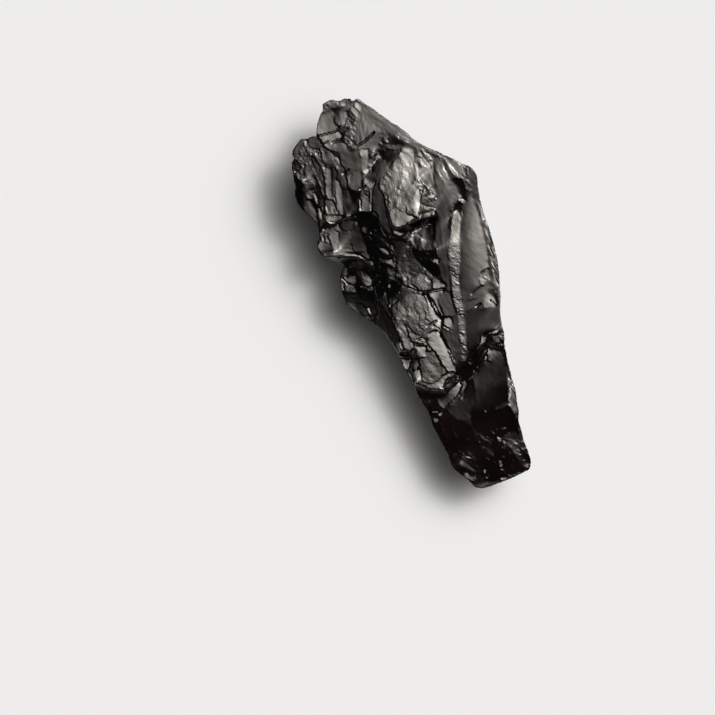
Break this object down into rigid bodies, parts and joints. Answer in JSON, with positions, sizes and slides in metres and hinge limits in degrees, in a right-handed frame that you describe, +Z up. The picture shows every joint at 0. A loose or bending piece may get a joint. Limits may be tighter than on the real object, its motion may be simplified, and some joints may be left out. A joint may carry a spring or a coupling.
{
  "type": "shungite specimen",
  "caption": "Elongated wedge-shaped piece of glassy black shungite, broken on all sides, lying on a flat fracture face.",
  "frame": {"origin": "under the middle of the stone's bounding box, on the flat fracture face that it rests on", "axes": "+Z up, away from the resting face; +X along the stone towards its thin end; +Y across it, towards the long straight edge"},
  "size_m": [0.0838, 0.0352, 0.021],
  "materials": {
    "noble_shungite": "glassy black fracture with a semi-metallic shine"
  },
  "bodies": {
    "root": {"shungite_stone": "noble_shungite"}
  },
  "joints": []
}
